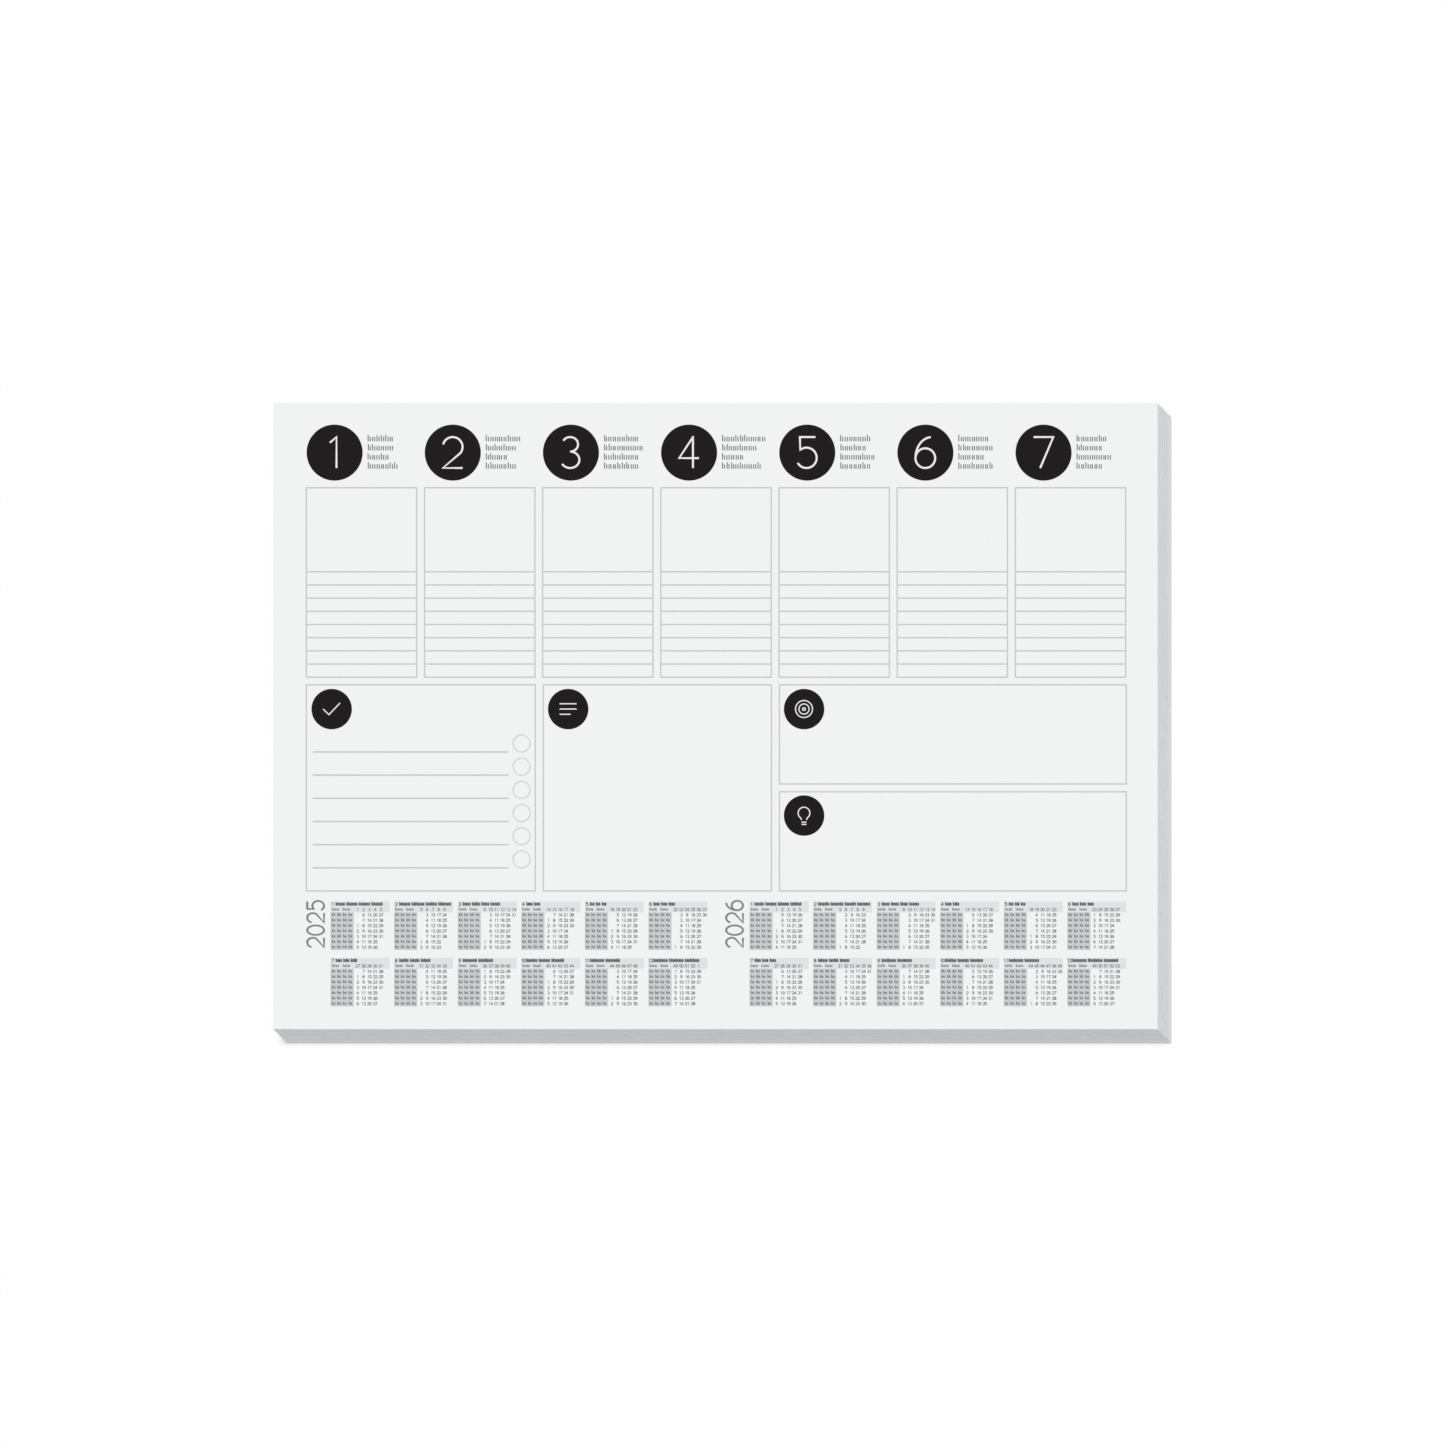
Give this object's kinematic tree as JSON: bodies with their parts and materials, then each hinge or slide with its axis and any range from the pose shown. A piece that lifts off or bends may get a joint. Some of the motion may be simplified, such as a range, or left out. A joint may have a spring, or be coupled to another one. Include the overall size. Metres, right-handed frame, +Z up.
{
  "type": "planner desk pad",
  "caption": "Large landscape desk pad of tear-off weekly planner sheets, glued along the head edge to a pale backing board.",
  "frame": {"origin": "on the table under the middle of the pad's outer box", "axes": "+X along the long edge to the right of the printed page, +Y towards the glued head edge, +Z up"},
  "size_m": [0.42, 0.2976, 0.0069],
  "materials": {
    "paper": "matt uncoated white paper",
    "pale_board": "pale grey recycled board with fine flecks",
    "padding_glue": "dried flexible white glue, slight sheen",
    "black_ink": "matt black print on paper",
    "grey_ink": "matt grey print on paper"
  },
  "bodies": {
    "root": {"sheet_block": "paper", "backing_board": "pale_board", "head_glue": "padding_glue"}
  },
  "joints": []
}
